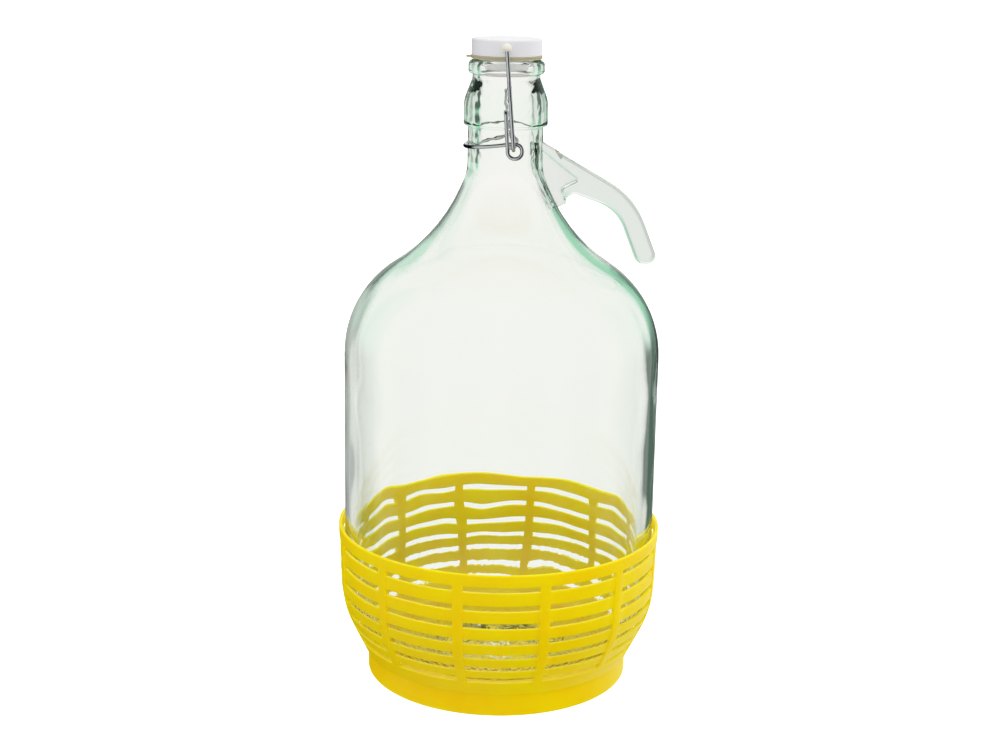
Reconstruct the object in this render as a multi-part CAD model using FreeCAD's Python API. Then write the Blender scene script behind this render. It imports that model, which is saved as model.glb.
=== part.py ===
# A five litre glass demijohn in a moulded plastic basket, shut by a swing stopper on two bent wires.
# Millimetres. +Z is up, the handle is on the +X side and the front is -Y.
# The origin is the middle of the basket's foot, on the surface that it stands on.
import FreeCAD, Part
import math
import os

V = FreeCAD.Vector
UP = V(0, 0, 1)
AXIS_FOOT = V(0, 0, 0)

# Basket, one moulding: a cupped wall with slots between twelve ribs, on a plain foot ring
BASKET_HEIGHT = 90.0
BASKET_WALL = 2.0
BASKET_PLAY = 0.4             # between the glass and the wall, where the wall bends in
BASKET_TAPER = 1.3            # how much the upper wall leans in, from the rim to the bend
BASKET_BEND_HEIGHT = 43.5
BASKET_BEND_RADIUS = 60.0
CUP_DRAW_IN = 11.9            # how far inside the glass's widest line the cupped wall meets the foot ring
FOOT_STEP = 1.7               # and how far inside that the foot ring stands
FOOT_HEIGHT = 14.0
FOOT_EDGE_RADIUS = 2.2
FLOOR_HEIGHT = 7.8            # underside of the floor that the glass stands on
FLOOR_THICKNESS = 2.2
DRAIN_RADIUS = 8.0
RIB_COUNT = 12
RIB_WIDTH = 5.8
FIRST_RIB_ANGLE = -13.6       # degrees from the front towards +X
SLOT_ROWS = 7
SLOT_HEIGHT = 3.3
SLOT_TOP_DROP = 8.7           # from the rim to the middle of the top row
SLOT_PITCH = 10.9
SLOT_PITCH_SHRINK = 0.945     # each gap between rows is this share of the one above

# Glass, one blown piece
BODY_RADIUS = 90.0
GLASS_WALL = 4.0
HEEL_RADIUS = 50.0
REST_RING_WIDTH = 4.0
PUSH_UP = 8.0                 # how far the middle of the base is pushed up
PUSH_UP_RADIUS = 30.0
WALL_CORNER_HEIGHT = 214.3    # from the base to where the wall and shoulder lines cross
SHOULDER_SLOPE = 57.2         # degrees from upright
SHOULDER_RADIUS = 60.4
FLARE_RADIAL = 36.8           # distance from the axis where the shoulder turns up into the neck
FLARE_SLOPE = 23.4
FLARE_RADIUS = 100.0
NECK_RADIUS = 21.1
NECK_ROOT_RADIUS = 30.0
NECK_LENGTH = 26.3
BORE_RADIUS = 15.0
COLLAR_RADIUS = 23.5
COLLAR_UNDER_RADIUS = 1.4
COLLAR_STRAIGHT = 13.8
COLLAR_TAPER = 12.1
COLLAR_SHOULDER_RADIUS = 18.0
GROOVE_RADIUS = 18.9
GROOVE_HEIGHT = 2.6
LIP_RADIUS = 21.2
LIP_HEIGHT = 7.7
LIP_EDGE_RADIUS = 3.0
LIP_UNDER_RADIUS = 1.8
MOUTH_EDGE_RADIUS = 1.0

# Handle, an open hook of pressed glass: a flat-sided bar, sunk on both sides to a thin web beside the neck
HANDLE_THICKNESS = 11.0
HANDLE_EDGE_RADIUS = 2.5
HANDLE_TOP_DROP = 9.3         # from the collar's underside to where the bar's top leaves the neck
HANDLE_SLOPE = 30.0           # of the bar's top, degrees below level
HANDLE_REACH = 60.8           # along the top, from the neck to the elbow's corner
HANDLE_ELBOW_RADIUS = 45.0
HANDLE_TIP_SLOPE = 68.6
HANDLE_TIP_LENGTH = 37.2      # from the elbow's outer corner to the end
HANDLE_TIP_WIDTH = 12.3
HANDLE_TIP_OUTER_RADIUS = 4.5
HANDLE_TIP_INNER_RADIUS = 7.0
HANDLE_INNER_LENGTH = 35.8    # from the end up to the elbow's inner corner
HANDLE_INNER_RADIUS = 24.0
HANDLE_UNDER_SLOPE = 18.8     # of the bar's underside
HANDLE_UNDER_LENGTH = 29.8
HANDLE_ARCH_RADIUS = 4.5
HANDLE_LOBE_DROP = 7.1        # how far the bar's lower corner hangs below the arch's corner
WEB_THICKNESS = 6.0
WEB_TOP_DROP = 11.0           # from the collar's underside to where the sunk web starts
WEB_TIP_REACH = 20.6          # from the neck to the web's tip
WEB_TIP_DROP = 30.0
WEB_TIP_RADIUS = 1.2
WEB_LOW_REACH = 11.2          # and to its low corner
WEB_LOW_DROP = 34.7
WEB_LOW_RADIUS = 2.5

# Wires
WIRE_RADIUS = 1.1
WIRE_GAP = 0.3                # between a wire and what it passes
COLLAR_GAP = 0.5
LIP_GAP = 0.9
PIVOT_RISE = 9.7              # lever's pivot above the collar's underside
PIVOT_DEPTH = 2.6             # of the dimple in the collar
PIVOT_PLAY = 0.35
EYE_X = 5.4
EYE_DROP = 21.3               # from the pivot down to the middle of the eye
EYE_RADIUS = 3.8
HOOK_ANGLE = 43.0             # where the bail's hook sits in the eye, degrees from upright towards the pivot
LOOP_SLOPE = 8.3              # the lever's loop hangs down towards -X by this many degrees
WIRE_BEND_RADIUS = 2.2
BAIL_TOP_BEND_RADIUS = 1.9
BAIL_EASE_RADIUS = 6.0
BAIL_STRAIGHT = 16.5          # straight upper run of the bail, past the lip
BAIL_SPREAD = 12.0            # length over which it eases out past the collar

# Stopper and gasket
CAP_RADIUS = 19.5
CAP_HEIGHT = 9.1
CAP_EDGE_RADIUS = 1.0
CAP_HOLE_HEIGHT = 4.7         # cross hole above the cap's underside
HOLE_PLAY = 0.3
BOSS_RADIUS = 2.7
BOSS_LENGTH = 1.2
PLUG_RADIUS = 12.2
PLUG_LENGTH = 8.0
PLUG_EDGE_RADIUS = 1.5
GASKET_RADIUS = 19.8
GASKET_THICKNESS = 1.85
GASKET_PLAY = 0.3
GASKET_GROOVE = 0.45
SEAL_GAP = 0.6                # room for the stopper to dip as the lever passes dead centre
TAB_LENGTH = 2.6
TAB_WIDTH = 5.0
TAB_THICKNESS = 1.0

# Radii and heights that follow
BASKET_BEND_X = BODY_RADIUS + BASKET_PLAY + BASKET_WALL
BASKET_RIM_RADIUS = BASKET_BEND_X + BASKET_TAPER
CUP_FOOT_RADIUS = BODY_RADIUS - CUP_DRAW_IN
FOOT_RADIUS = CUP_FOOT_RADIUS - FOOT_STEP
GLASS_BASE = FLOOR_HEIGHT + FLOOR_THICKNESS
WALL_CORNER_Z = GLASS_BASE + WALL_CORNER_HEIGHT
FLARE_Z = WALL_CORNER_Z + (BODY_RADIUS - FLARE_RADIAL) / math.tan(math.radians(SHOULDER_SLOPE))
NECK_ROOT_Z = FLARE_Z + (FLARE_RADIAL - NECK_RADIUS) / math.tan(math.radians(FLARE_SLOPE))
COLLAR_Z = NECK_ROOT_Z + NECK_LENGTH
GROOVE_Z = COLLAR_Z + COLLAR_STRAIGHT + COLLAR_TAPER
LIP_Z = GROOVE_Z + GROOVE_HEIGHT
MOUTH_Z = LIP_Z + LIP_HEIGHT
PIVOT_Z = COLLAR_Z + PIVOT_RISE
GASKET_Z = MOUTH_Z + SEAL_GAP
CAP_Z = GASKET_Z + GASKET_THICKNESS
HOLE_Z = CAP_Z + CAP_HOLE_HEIGHT

# The slope between shoulder and flare carries an end of both bends. Where it is too short, both give way alike
SLOPE_LENGTH = (BODY_RADIUS - FLARE_RADIAL) / math.sin(math.radians(SHOULDER_SLOPE))
SHOULDER_BEND_END = SHOULDER_RADIUS * math.tan(math.radians(SHOULDER_SLOPE / 2))
FLARE_BEND_END = FLARE_RADIUS * math.tan(math.radians((SHOULDER_SLOPE - FLARE_SLOPE) / 2))
BEND_SHARE = min(1, SLOPE_LENGTH / (SHOULDER_BEND_END + FLARE_BEND_END))

# How far the three layers of wire stand out from the axis
LOOP_Y = NECK_RADIUS + WIRE_GAP + WIRE_RADIUS
LEVER_Y = max(COLLAR_RADIUS + COLLAR_GAP + WIRE_RADIUS, LOOP_Y + 2 * WIRE_RADIUS + WIRE_GAP)
BAIL_Y = LEVER_Y + 2 * WIRE_RADIUS + WIRE_GAP
BAIL_TOP_Y = LIP_RADIUS + LIP_GAP + WIRE_RADIUS

# The bail's hook, held against the upper side of the lever's eye
EYE_Z = PIVOT_Z - EYE_DROP
HOOK_OFFSET = EYE_RADIUS - 2 * WIRE_RADIUS - WIRE_GAP
HOOK_X = EYE_X - HOOK_OFFSET * math.sin(math.radians(HOOK_ANGLE))
HOOK_Z = EYE_Z + HOOK_OFFSET * math.cos(math.radians(HOOK_ANGLE))


def rounded_edges(corners, closed=False):
    """Straight runs joined by tangent arcs. Each corner is (x, y, z, radius), and an open path's ends have none."""
    count = len(corners)
    points = [V(*corner[:3]) for corner in corners]
    entry, leave, arcs = list(points), list(points), {}
    for i in range(count):
        radius = corners[i][3]
        if radius == 0 or (not closed and i in (0, count - 1)):
            continue
        back = (points[i - 1] - points[i]).normalize()
        ahead = (points[(i + 1) % count] - points[i]).normalize()
        half = back.getAngle(ahead) / 2
        entry[i] = points[i] + back * (radius / math.tan(half))
        leave[i] = points[i] + ahead * (radius / math.tan(half))
        middle = points[i] + (back + ahead).normalize() * (radius / math.sin(half) - radius)
        arcs[i] = Part.Arc(entry[i], middle, leave[i]).toShape()
    edges = []
    for i in range(count):
        if i in arcs:
            edges.append(arcs[i])
        follows = (i + 1) % count
        if (closed or i < count - 1) and leave[i].distanceToPoint(entry[follows]) > 1e-4:
            edges.append(Part.makeLine(leave[i], entry[follows]))
    return edges


def turned(outline):
    """A solid of revolution about the Z axis. The outline's corners are (distance from the axis, height, radius)."""
    corners = [(radial, 0, height, radius) for radial, height, radius in outline]
    face = Part.Face(Part.Wire(rounded_edges(corners, closed=True)))
    return face.revolve(AXIS_FOOT, UP, 360)


def bent_wire(corners):
    """Round wire along a rounded path."""
    edges = rounded_edges(corners)
    path = Part.Wire(edges)
    start = edges[0].valueAt(edges[0].FirstParameter)
    heading = edges[0].tangentAt(edges[0].FirstParameter)
    section = Part.Wire(Part.makeCircle(WIRE_RADIUS, start, heading))
    return path.makePipeShell([section], True, True)


def rod(radius, start, end):
    """A round bar between two points."""
    return Part.makeCylinder(radius, (end - start).Length, start, end - start)


def inset(outline, distance):
    """The same outline moved to its left by a distance, with its bends kept concentric."""
    shifted = []
    for i in range(1, len(outline) - 1):
        (x0, z0, _), (x1, z1, radius), (x2, z2, _) = outline[i - 1:i + 2]
        before = V(x1 - x0, z1 - z0, 0).normalize()
        after = V(x2 - x1, z2 - z1, 0).normalize()
        turn = before.x * after.y - before.y * after.x
        along = distance * math.tan(math.asin(turn) / 2)
        x = x1 - before.y * distance - before.x * along
        z = z1 + before.x * distance - before.y * along
        shifted.append((x, z, radius - math.copysign(distance, turn)))
    return shifted


def body_outline():
    """The outside of the glass from the middle of its base up to the neck."""
    ring = BODY_RADIUS - HEEL_RADIUS - REST_RING_WIDTH
    return [
        (0, GLASS_BASE + PUSH_UP, 0),
        (ring - PUSH_UP_RADIUS / 2, GLASS_BASE + PUSH_UP, PUSH_UP_RADIUS),
        (ring, GLASS_BASE, 0),
        (BODY_RADIUS, GLASS_BASE, HEEL_RADIUS),
        (BODY_RADIUS, WALL_CORNER_Z, SHOULDER_RADIUS * BEND_SHARE),
        (FLARE_RADIAL, FLARE_Z, FLARE_RADIUS * BEND_SHARE),
        (NECK_RADIUS, NECK_ROOT_Z, NECK_ROOT_RADIUS),
    ]


def glass_outside():
    """The jug as if it were solid, with its collar, groove and lip."""
    return turned(body_outline() + [
        (NECK_RADIUS, COLLAR_Z, 0),
        (COLLAR_RADIUS, COLLAR_Z, COLLAR_UNDER_RADIUS),
        (COLLAR_RADIUS, COLLAR_Z + COLLAR_STRAIGHT, COLLAR_SHOULDER_RADIUS),
        (GROOVE_RADIUS, GROOVE_Z, 0),
        (GROOVE_RADIUS, LIP_Z, 0),
        (LIP_RADIUS, LIP_Z, LIP_UNDER_RADIUS),
        (LIP_RADIUS, MOUTH_Z, LIP_EDGE_RADIUS),
        (0, MOUTH_Z, 0),
    ])


def glass_cavity():
    """The room inside the jug, with a bore of one width through neck and collar."""
    above_base = GLASS_BASE + PUSH_UP + GLASS_WALL
    heel, shoulder, flare = inset(body_outline()[2:7], GLASS_WALL)
    root_z = flare[1] + (flare[0] - BORE_RADIUS) / math.tan(math.radians(FLARE_SLOPE))
    ring = BODY_RADIUS - HEEL_RADIUS
    return turned([
        (0, above_base, 0),
        (ring - PUSH_UP_RADIUS / 2, above_base, PUSH_UP_RADIUS / 2),
        (ring, GLASS_BASE + GLASS_WALL, 0),
        heel,
        shoulder,
        flare,
        (BORE_RADIUS, root_z, NECK_ROOT_RADIUS / 2),
        (BORE_RADIUS, MOUTH_Z, 0),
        (BORE_RADIUS + MOUTH_EDGE_RADIUS, MOUTH_Z + MOUTH_EDGE_RADIUS, 0),
        (0, MOUTH_Z + MOUTH_EDGE_RADIUS, 0),
    ])


def plate(corners, thickness):
    """A flat plate with its middle in the XZ plane. Each corner is (x, z, radius)."""
    outline = [(x, -thickness / 2, z, radius) for x, z, radius in corners]
    return Part.Face(Part.Wire(rounded_edges(outline, closed=True))).extrude(V(0, thickness, 0))


def heading(degrees):
    """The direction in the XZ plane that runs towards +X and down by an angle."""
    return V(math.cos(math.radians(degrees)), 0, -math.sin(math.radians(degrees)))


def handle():
    """The hook: a flat-sided bar slopes off the neck and turns down, with a web sunk into it beside the neck."""
    along, down, under = heading(HANDLE_SLOPE), heading(HANDLE_TIP_SLOPE), heading(HANDLE_UNDER_SLOPE)
    top = V(NECK_RADIUS, 0, COLLAR_Z - HANDLE_TOP_DROP)
    root = top - along * (NECK_RADIUS - BORE_RADIUS) / 2
    elbow = top + along * HANDLE_REACH
    outer_end = elbow + down * HANDLE_TIP_LENGTH
    inner_end = outer_end + V(down.z, 0, -down.x) * HANDLE_TIP_WIDTH
    inner_elbow = inner_end - down * HANDLE_INNER_LENGTH
    arch = inner_elbow - under * HANDLE_UNDER_LENGTH
    bar = plate([
        (root.x, root.z, 0),
        (elbow.x, elbow.z, HANDLE_ELBOW_RADIUS),
        (outer_end.x, outer_end.z, HANDLE_TIP_OUTER_RADIUS),
        (inner_end.x, inner_end.z, HANDLE_TIP_INNER_RADIUS),
        (inner_elbow.x, inner_elbow.z, HANDLE_INNER_RADIUS),
        (arch.x, arch.z, HANDLE_ARCH_RADIUS),
        (arch.x, arch.z - HANDLE_LOBE_DROP, 0),
        (root.x, FLARE_Z, 0),
    ], HANDLE_THICKNESS)
    long_edges = [e for e in bar.Edges if e.BoundBox.YLength < 0.01 and e.CenterOfMass.x > arch.x - 0.01]
    sunk = [
        (root.x, COLLAR_Z - WEB_TOP_DROP, 0),
        (NECK_RADIUS + WEB_TIP_REACH, COLLAR_Z - WEB_TIP_DROP, WEB_TIP_RADIUS),
        (NECK_RADIUS + WEB_LOW_REACH, COLLAR_Z - WEB_LOW_DROP, WEB_LOW_RADIUS),
        (arch.x + HANDLE_EDGE_RADIUS, arch.z - 2 * HANDLE_LOBE_DROP, 0),
        (arch.x + HANDLE_EDGE_RADIUS, FLARE_Z - HANDLE_LOBE_DROP, 0),
        (root.x, FLARE_Z - HANDLE_LOBE_DROP, 0),
    ]
    pockets = plate(sunk, 2 * HANDLE_THICKNESS).cut(plate(sunk, WEB_THICKNESS))
    return bar.makeFillet(HANDLE_EDGE_RADIUS, long_edges).cut(pockets)


def glass_jug():
    """The glass, hollow, with its handle and the two dimples that the lever turns in."""
    solid = glass_outside().fuse(handle())
    dimple_floor = COLLAR_RADIUS - PIVOT_DEPTH
    dimples = [
        rod(WIRE_RADIUS + PIVOT_PLAY, V(0, side * dimple_floor, PIVOT_Z), V(0, side * (COLLAR_RADIUS + 1), PIVOT_Z))
        for side in (-1, 1)
    ]
    return solid.cut([glass_cavity()] + dimples).removeSplitter()


def basket_shell():
    """The basket before its slots are cut: cupped wall, foot ring and floor."""
    outside = [
        (FOOT_RADIUS - BASKET_WALL, 0, 0),
        (FOOT_RADIUS, 0, FOOT_EDGE_RADIUS / 2),
        (FOOT_RADIUS, FOOT_HEIGHT, 0),
        (CUP_FOOT_RADIUS, FOOT_HEIGHT, 0),
        (BASKET_BEND_X, BASKET_BEND_HEIGHT, BASKET_BEND_RADIUS),
        (BASKET_RIM_RADIUS, BASKET_HEIGHT, BASKET_WALL / 3),
        (BASKET_RIM_RADIUS - BASKET_WALL, BASKET_HEIGHT, BASKET_WALL / 3),
    ]
    bend, = inset([outside[3], outside[4], outside[5]], BASKET_WALL)
    inside = [
        bend,
        (CUP_FOOT_RADIUS - BASKET_WALL, FOOT_HEIGHT, 0),
        (FOOT_RADIUS - 2 * BASKET_WALL, GLASS_BASE, 0),
        (DRAIN_RADIUS, GLASS_BASE, 0),
        (DRAIN_RADIUS, FLOOR_HEIGHT, 0),
        (FOOT_RADIUS - BASKET_WALL, FLOOR_HEIGHT, 0),
    ]
    return turned(outside + inside)


def slot_heights():
    """The middle of each row of slots, from the rim down, closing up towards the foot."""
    heights = [BASKET_HEIGHT - SLOT_TOP_DROP]
    for row in range(SLOT_ROWS - 1):
        heights.append(heights[-1] - SLOT_PITCH * SLOT_PITCH_SHRINK ** row)
    return heights


def basket():
    """The moulding, with a slot in every row between each pair of ribs."""
    outer = BASKET_RIM_RADIUS + BASKET_WALL
    inner = FOOT_RADIUS - 4 * BASKET_WALL
    rows = []
    for middle in slot_heights():
        disc = Part.makeCylinder(outer, SLOT_HEIGHT, V(0, 0, middle - SLOT_HEIGHT / 2))
        rows.append(disc.cut(Part.makeCylinder(inner, SLOT_HEIGHT, V(0, 0, middle - SLOT_HEIGHT / 2))))
    ribs = []
    for count in range(RIB_COUNT):
        plate = Part.makeBox(RIB_WIDTH, outer, BASKET_HEIGHT, V(-RIB_WIDTH / 2, -outer, 0))
        plate.rotate(AXIS_FOOT, UP, FIRST_RIB_ANGLE + count * 360 / RIB_COUNT)
        ribs.append(plate)
    slots = Part.makeCompound(rows).cut(ribs)
    return basket_shell().cut(slots)


def stopper():
    """The white cap, its plug below and the cross hole that the bail runs through."""
    body = turned([
        (0, CAP_Z - PLUG_LENGTH, 0),
        (PLUG_RADIUS, CAP_Z - PLUG_LENGTH, PLUG_EDGE_RADIUS),
        (PLUG_RADIUS, CAP_Z, 0),
        (CAP_RADIUS, CAP_Z, CAP_EDGE_RADIUS / 3),
        (CAP_RADIUS, CAP_Z + CAP_HEIGHT, CAP_EDGE_RADIUS),
        (0, CAP_Z + CAP_HEIGHT, 0),
    ])
    boss_end = V(0, CAP_RADIUS + BOSS_LENGTH, HOLE_Z)
    boss = rod(BOSS_RADIUS, V(0, -boss_end.y, HOLE_Z), boss_end)
    hole = rod(WIRE_RADIUS + HOLE_PLAY, V(0, -2 * CAP_RADIUS, HOLE_Z), V(0, 2 * CAP_RADIUS, HOLE_Z))
    return body.fuse(boss).cut(hole)


def gasket():
    """The rubber washer under the cap, grooved round its edge, with a small pull tab."""
    middle = GASKET_Z + GASKET_THICKNESS / 2
    washer = turned([
        (PLUG_RADIUS + GASKET_PLAY, GASKET_Z, 0),
        (GASKET_RADIUS, GASKET_Z, GASKET_GROOVE / 2),
        (GASKET_RADIUS, GASKET_Z + GASKET_THICKNESS / 3, 0),
        (GASKET_RADIUS - GASKET_GROOVE, middle, 0),
        (GASKET_RADIUS, CAP_Z - GASKET_THICKNESS / 3, 0),
        (GASKET_RADIUS, CAP_Z, GASKET_GROOVE / 2),
        (PLUG_RADIUS + GASKET_PLAY, CAP_Z, 0),
    ])
    length = GASKET_RADIUS + TAB_LENGTH - PLUG_RADIUS - 2 * GASKET_PLAY
    corner = V(-GASKET_RADIUS - TAB_LENGTH, -TAB_WIDTH / 2, middle - TAB_THICKNESS / 2)
    tab = Part.makeBox(length, TAB_WIDTH, TAB_THICKNESS, corner)
    outer_edges = [edge for edge in tab.Edges if edge.BoundBox.XMax < corner.x + 0.01 and edge.BoundBox.ZLength > 0.01]
    return washer.fuse(tab.makeFillet(TAB_WIDTH / 3, outer_edges))


def mirrored(corners):
    """A wire's path from one end to its middle, carried on to the other end behind the neck."""
    return corners + [(x, -y, z, radius) for x, y, z, radius in reversed(corners)]


def lever_wire():
    """Pivot pin, arm, eye and a loop round the neck, then the same again at the back."""
    pin_end = -(COLLAR_RADIUS - PIVOT_DEPTH + PIVOT_PLAY)
    drop = math.tan(math.radians(LOOP_SLOPE))
    loop_x = -LOOP_Y
    eye_left, eye_right = EYE_X - EYE_RADIUS, EYE_X + EYE_RADIUS
    eye_low, eye_high = EYE_Z - EYE_RADIUS, EYE_Z + EYE_RADIUS
    bend = EYE_RADIUS * 0.98
    loop_z = eye_high - (eye_left - loop_x) * drop
    step = (LEVER_Y - LOOP_Y) / 2
    return bent_wire(mirrored([
        (0, pin_end, PIVOT_Z, 0),
        (0, -LEVER_Y, PIVOT_Z, WIRE_BEND_RADIUS),
        (eye_left, -LEVER_Y, eye_low, bend),
        (eye_right, -LEVER_Y, eye_low, bend),
        (eye_right, -LEVER_Y + step, eye_high, bend),
        (eye_left + WIRE_RADIUS, -LOOP_Y, eye_high, WIRE_BEND_RADIUS),
        (loop_x, -LOOP_Y, loop_z, LOOP_Y * 0.97),
    ]))


def bail_wire():
    """Hook, arm, the bar through the stopper, then the same again at the back."""
    hook_end = -(LEVER_Y - WIRE_RADIUS - WIRE_GAP)
    run = V(HOOK_X, 0, HOOK_Z - HOLE_Z)
    down = V(run).normalize()

    def at(distance, y, radius):
        return (down.x * distance, y, HOLE_Z + down.z * distance, radius)

    return bent_wire(mirrored([
        at(run.Length, hook_end, 0),
        at(run.Length, -BAIL_Y, WIRE_BEND_RADIUS),
        at(BAIL_STRAIGHT + BAIL_SPREAD, -BAIL_Y, BAIL_EASE_RADIUS),
        at(BAIL_STRAIGHT, -BAIL_TOP_Y, BAIL_EASE_RADIUS),
        at(0, -BAIL_TOP_Y, BAIL_TOP_BEND_RADIUS),
    ]))


PARTS = {
    "glass_jug": glass_jug,
    "basket": basket,
    "stopper": stopper,
    "gasket": gasket,
    "bail_wire": bail_wire,
    "lever_wire": lever_wire,
}

os.makedirs("parts", exist_ok=True)
for name, make in PARTS.items():
    shape = make()
    shape.exportStep(f"parts/{name}.step")
    print(name, "valid" if shape.isValid() else "NOT VALID", len(shape.Solids), "solid", round(shape.Volume))
print("pivot z", round(PIVOT_Z, 2), "hook", round(HOOK_X, 2), round(HOOK_Z, 2), "hole z", round(HOLE_Z, 2))
print("mouth z", round(MOUTH_Z, 2), "cap top", round(CAP_Z + CAP_HEIGHT, 2))
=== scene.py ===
"""A five litre glass demijohn with a swing stopper, in a yellow moulded basket.

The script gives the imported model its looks.

Metres, +Z up, the handle on the +X side and the front at -Y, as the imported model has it.
Outlines are written in millimetres and scaled as they are drawn.
"""
import math

import bmesh
import bpy
from mathutils import Matrix, Vector


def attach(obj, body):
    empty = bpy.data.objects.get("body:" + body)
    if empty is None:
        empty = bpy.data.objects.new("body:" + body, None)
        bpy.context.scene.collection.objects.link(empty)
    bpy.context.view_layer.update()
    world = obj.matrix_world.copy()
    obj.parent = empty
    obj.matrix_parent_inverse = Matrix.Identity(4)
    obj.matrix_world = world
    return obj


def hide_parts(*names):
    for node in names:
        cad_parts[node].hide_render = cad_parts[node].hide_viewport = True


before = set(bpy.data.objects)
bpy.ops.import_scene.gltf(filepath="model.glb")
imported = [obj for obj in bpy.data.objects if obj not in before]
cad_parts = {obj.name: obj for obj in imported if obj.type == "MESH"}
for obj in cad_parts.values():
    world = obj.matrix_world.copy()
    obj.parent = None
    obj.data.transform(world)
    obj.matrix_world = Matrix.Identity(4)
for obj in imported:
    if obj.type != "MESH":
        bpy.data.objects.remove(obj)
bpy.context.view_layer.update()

MM = 0.001
UP = Vector((0, 0, 1))
FULL_TURN = 2 * math.pi

# Camera, worked out from the rim and foot ellipses of the photograph
CAMERA_PLACE = (-0.0007, -0.9983, 0.4367)
CAMERA_TILT = math.radians(90 - 14.55)
CAMERA_ROLL = 0.0175
CAMERA_LENS = 64.45
TABLE_RADIUS = 30.0

# Glass, in millimetres
JUG_BASE = 10.0
JUG_WALL = 4.0
BODY_RADIUS = 90.0
HEEL_RADIUS = 50.0
REST_RING_WIDTH = 4.0
PUSH_UP, PUSH_UP_RADIUS = 8.0, 30.0
WALL_CORNER = 224.3
SHOULDER_RADIUS = 60.38
FLARE_RADIAL, FLARE_HEIGHT, FLARE_RADIUS = 36.8, 258.59, 99.95
FLARE_SLOPE = math.radians(23.4)
NECK_RADIUS, NECK_ROOT, NECK_ROOT_RADIUS = 21.1, 294.87, 30.0
BORE_RADIUS = 15.0
COLLAR_LOW = 321.17
COLLAR_RADIUS, COLLAR_BEND = 23.5, 334.97
GROOVE_RADIUS, GROOVE_LOW, GROOVE_HIGH = 18.9, 347.07, 349.67
LIP_RADIUS, MOUTH = 21.2, 357.37
PIVOT_HEIGHT, PIVOT_DEPTH, DIMPLE_RADIUS = 330.87, 2.6, 1.45
HEEL_MARKS_TOP, HEEL_MARKS_FULL, KNURL_PITCH, KNURL_RELIEF = 62.0, 43.4, 2.38, 0.35
SPIN_STEPS = 192
LONGEST_RUN = 6.0
BORE_CUTS = 5
ARC_STEP = math.radians(5)

# Inside of the glass, in millimetres: where the blown wall is uneven, and how it fades in and out
UNEVEN_LOW, UNEVEN_HIGH, FADE_LOW, FADE_HIGH = 25.0, 290.0, 35.0, 40.0
BLOWN_THICKER = 3.0
RIPPLE_SIZE, RIPPLE_DEPTH = 34.0, 1.2
CRINKLE_SIZE, CRINKLE_DEPTH = 5.0, 0.35
BORE_FADE_LOW, BORE_FADE_HIGH, BORE_TOP_DROP = 12.0, 6.0, 4.0

# Handle, in millimetres: the bar's outline, then the web that is sunk into it on both sides
HANDLE_DROP = 9.3
HANDLE_THICKNESS, HANDLE_EDGE = 11.0, 2.5
HANDLE_SLOPE, HANDLE_REACH, HANDLE_ELBOW = 30.0, 60.8, 45.0
TIP_SLOPE, TIP_LENGTH, TIP_WIDTH, TIP_OUTER, TIP_INNER = 68.6, 37.2, 12.3, 4.5, 7.0
INNER_LENGTH, INNER_ELBOW = 35.8, 24.0
UNDER_SLOPE, UNDER_LENGTH, ARCH_RADIUS, LOBE_DROP = 18.8, 29.8, 4.5, 7.1
WEB_THICKNESS = 6.0
WEB_TIP, WEB_LOW = (41.7, 291.17, 1.2), (32.3, 286.47, 2.5)
WEB_TOP, WEB_EDGE = 310.2, 0.9
WALL_MIDDLE = ((29.0, 275.5, 0), (24.0, 286.5, 0), (18.6, 299.0, 0))

# Basket, in millimetres
RIM_HEIGHT, RIM_RADIUS, RIM_EDGE = 90.0, 93.7, 0.7
BEND_RADIAL, BEND_HEIGHT, BEND_RADIUS = 92.4, 43.5, 60.0
CUP_FOOT_RADIUS = 78.1
FOOT_RADIUS, FOOT_HEIGHT = 76.4, 14.0
BASKET_WALL = 2.0
FRAME_RELIEF, FRAME_EDGE = 0.35, 0.3
FLOOR_LOW = 7.8
DRAIN_RADIUS = 8.0
RIBS, RIB_WIDTH = 12, 5.8
FIRST_RIB = math.radians(-90 - 13.6)
SLOT_ROWS, SLOT_HEIGHT, SLOT_TOP_DROP, SLOT_PITCH, SLOT_SHRINK = 7, 3.3, 8.7, 10.9, 0.945
SLOT_STEPS = 10

# Stopper, gasket and wires, in millimetres
CAP_LOW, CAP_RADIUS, CAP_HEIGHT = 359.82, 19.5, 9.1
PLUG_RADIUS, PLUG_LENGTH = 12.2, 8.0
HOLE_HEIGHT, HOLE_RADIUS = 364.52, 1.4
BOSS_RADIUS, BOSS_REACH = 2.7, 20.7
BALL_RADIUS, BALL_RAISE = 2.2, 0.8
GASKET_LOW, GASKET_RADIUS, GASKET_HOLE = 357.97, 19.8, 12.5
TAB_REACH, TAB_WIDTH, TAB_THICKNESS = 22.4, 5.0, 1.0
WIRE_RADIUS, WIRE_BEND = 1.1, 2.2
LEVER_Y, LOOP_Y, BAIL_Y, BAIL_TOP_Y = 25.1, 22.5, 27.6, 23.2
BAIL_OUT_END, BAIL_OUT_START, BAIL_OUT_BEND = 28.5, 16.5, 6.0
EYE_X, EYE_HEIGHT, EYE_RADIUS = 5.4, 309.57, 3.8
EYE_ROUNDNESS, LOOP_ROUNDNESS = 0.98, 0.97
PIN_PLAY, HOOK_SHORT = 0.35, 0.3
HOOK_X, HOOK_HEIGHT = 4.51, 310.52
LOOP_SLOPE = math.radians(8.3)

# Dark flags round the glass: where a stretch begins, in degrees from straight behind, and how strong it is
FLAGS = ((-180, 0.4), (-90, 0.85), (-45, 0.38), (0, 0.77), (45, 0.4))
FLAGS_PER_TURN = 8
FLAG_SHIFT = 0.6


def colour(code):
    """A colour written as sRGB hex, turned to the linear values that the shaders work in."""
    channels = [int(code[i:i + 2], 16) / 255 for i in (0, 2, 4)]
    return [c / 12.92 if c <= 0.04045 else ((c + 0.055) / 1.055) ** 2.4 for c in channels] + [1.0]


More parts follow.
